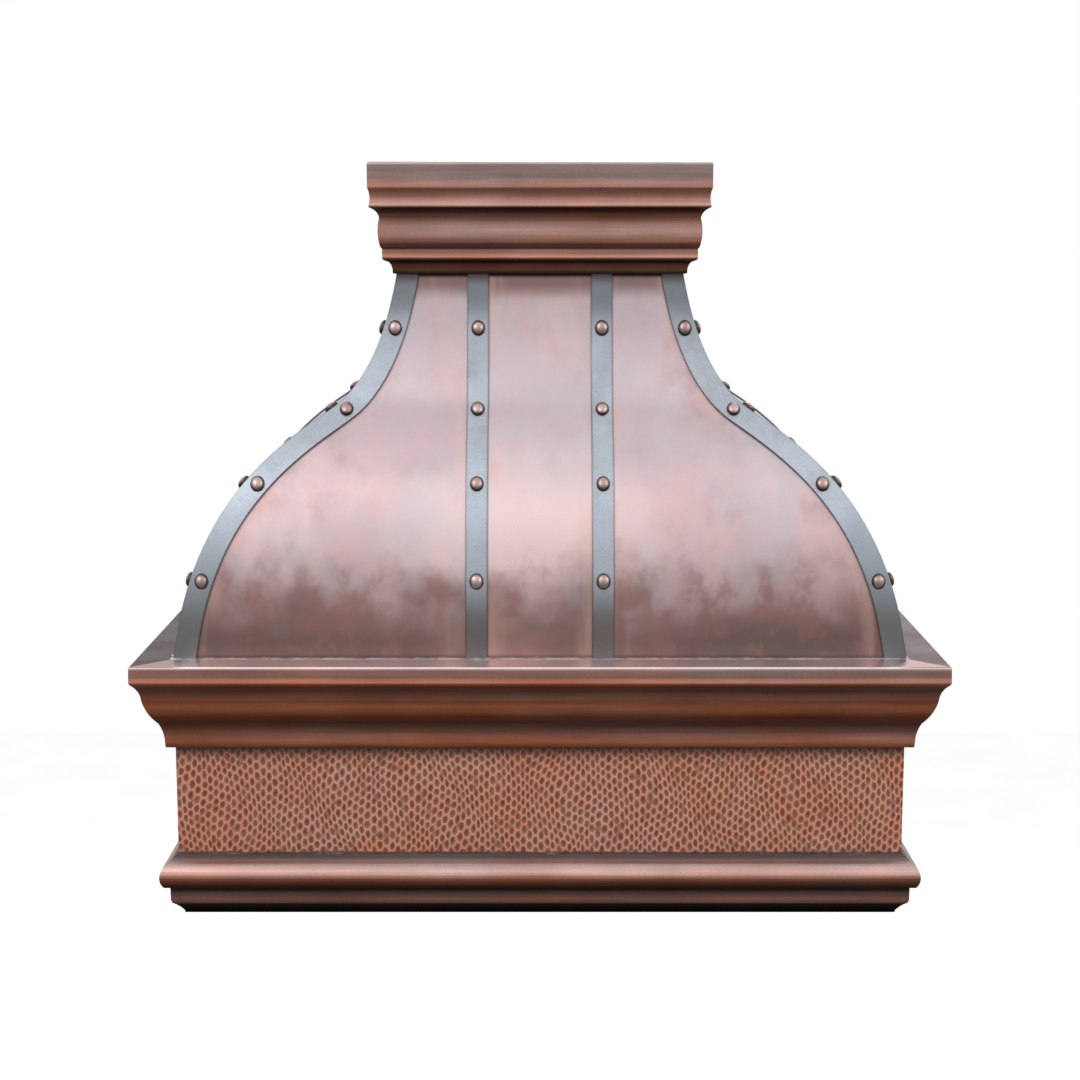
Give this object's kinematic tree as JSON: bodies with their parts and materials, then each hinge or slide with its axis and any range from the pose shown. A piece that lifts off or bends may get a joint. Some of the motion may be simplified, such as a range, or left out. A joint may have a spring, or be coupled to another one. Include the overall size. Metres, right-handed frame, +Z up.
{
  "type": "island range hood",
  "caption": "Bell-shaped copper canopy hood hung from a ceiling, with riveted iron straps, a hammered apron, crown, cornice and base mouldings, filters, blower and damper.",
  "frame": {"origin": "centre of the ceiling plane, on top of the ceiling frame", "axes": "+X to the hood's right as seen from the front, +Y to the rear, +Z up"},
  "size_m": [1.1222, 0.7412, 1.05],
  "materials": {
    "aged_copper": "aged copper sheet, brown with worn bright edges",
    "patina_copper": "pink-brown patina copper sheet, satin",
    "hammered_copper": "hand-hammered dark copper",
    "grey_iron": "brushed grey iron strap",
    "frame_steel": "dark painted structural steel",
    "brushed_steel": "brushed stainless steel",
    "galvanised": "galvanised steel sheet",
    "black_plastic": "matt black moulded plastic",
    "lamp_glass": "frosted glass"
  },
  "bodies": {
    "hood": {"apron_band": "hammered_copper", "base_moulding": "aged_copper", "blower_box": "galvanised", "blower_housing": "galvanised", "canopy_frame": "frame_steel", "ceiling_frame": "frame_steel", "control_panel": "brushed_steel", "corner_strap_front_left": "grey_iron", "corner_strap_front_right": "grey_iron", "corner_strap_rear_left": "grey_iron", "corner_strap_rear_right": "grey_iron", "cornice_moulding": "aged_copper", "cross_rail_left": "frame_steel", "cross_rail_right": "frame_steel", "crown_moulding": "aged_copper", "damper_collar": "galvanised", "damper_pin": "brushed_steel", "duct_transition": "galvanised", "exhaust_duct": "galvanised", "face_strap_front_left": "grey_iron", "face_strap_front_right": "grey_iron", "face_strap_rear_left": "grey_iron", "face_strap_rear_right": "grey_iron", "fan_switch": "black_plastic", "filter_bay_roof": "brushed_steel", "filter_bay_walls": "brushed_steel", "front_panel": "patina_copper", "hanger_post_front_left": "frame_steel", "hanger_post_front_right": "frame_steel", "hanger_post_rear_left": "frame_steel", "hanger_post_rear_right": "frame_steel", "junction_box": "galvanised", "junction_cover": "galvanised", "lamp_housing_front_left": "brushed_steel", "lamp_housing_front_right": "brushed_steel", "lamp_housing_rear_left": "brushed_steel", "lamp_housing_rear_right": "brushed_steel", "lamp_lens_front_left": "lamp_glass", "lamp_lens_front_right": "lamp_glass", "lamp_lens_rear_left": "lamp_glass", "lamp_lens_rear_right": "lamp_glass", "left_panel": "patina_copper", "light_dimmer": "black_plastic", "light_driver": "black_plastic", "liner_pan": "brushed_steel", "motor": "frame_steel", "motor_bracket": "frame_steel", "rear_panel": "patina_copper", "right_panel": "patina_copper"},
    "impeller": {"impeller": "galvanised"},
    "damper_flap_left": {"damper_flap_left": "galvanised"},
    "damper_flap_right": {"damper_flap_right": "galvanised"},
    "fan_knob": {"fan_knob": "black_plastic"},
    "light_knob": {"light_knob": "black_plastic"},
    "baffle_filter_left": {"baffle_filter_left": "brushed_steel"},
    "baffle_filter_centre": {"baffle_filter_centre": "brushed_steel"},
    "baffle_filter_right": {"baffle_filter_right": "brushed_steel"},
    "filter_handle_left": {"filter_handle_left": "brushed_steel"},
    "filter_handle_centre": {"filter_handle_centre": "brushed_steel"},
    "filter_handle_right": {"filter_handle_right": "brushed_steel"}
  },
  "joints": [
    {"name": "impeller_spin", "type": "hinge", "parent": "hood", "child": "impeller", "pos_m": [0, -0.016, -0.805], "axis": [1, 0, 0], "continuous": true},
    {"name": "damper_left_swing", "type": "hinge", "parent": "hood", "child": "damper_flap_left", "pos_m": [0, 0, -0.49], "axis": [0, 1, 0], "range_deg": [0, 75]},
    {"name": "damper_right_swing", "type": "hinge", "parent": "hood", "child": "damper_flap_right", "pos_m": [0, 0, -0.49], "axis": [0, -1, 0], "range_deg": [0, 75]},
    {"name": "fan_knob_turn", "type": "hinge", "parent": "hood", "child": "fan_knob", "pos_m": [-0.06, -0.24, -1.0338], "axis": [0, 0, 1], "range_deg": [0, 270]},
    {"name": "light_knob_turn", "type": "hinge", "parent": "hood", "child": "light_knob", "pos_m": [0.06, -0.24, -1.0338], "axis": [0, 0, 1], "range_deg": [0, 270]},
    {"name": "filter_left_tilt", "type": "hinge", "parent": "hood", "child": "baffle_filter_left", "pos_m": [-0.2695, 0.17, -1.017], "axis": [1, 0, 0], "range_deg": [0, 75]},
    {"name": "handle_left_fold", "type": "hinge", "parent": "baffle_filter_left", "child": "filter_handle_left", "pos_m": [-0.2695, -0.105, -1.0205], "axis": [1, 0, 0], "range_deg": [0, 90]},
    {"name": "filter_centre_tilt", "type": "hinge", "parent": "hood", "child": "baffle_filter_centre", "pos_m": [0, 0.17, -1.017], "axis": [1, 0, 0], "range_deg": [0, 75]},
    {"name": "handle_centre_fold", "type": "hinge", "parent": "baffle_filter_centre", "child": "filter_handle_centre", "pos_m": [0, -0.105, -1.0205], "axis": [1, 0, 0], "range_deg": [0, 90]},
    {"name": "filter_right_tilt", "type": "hinge", "parent": "hood", "child": "baffle_filter_right", "pos_m": [0.2695, 0.17, -1.017], "axis": [1, 0, 0], "range_deg": [0, 75]},
    {"name": "handle_right_fold", "type": "hinge", "parent": "baffle_filter_right", "child": "filter_handle_right", "pos_m": [0.2695, -0.105, -1.0205], "axis": [1, 0, 0], "range_deg": [0, 90]}
  ]
}
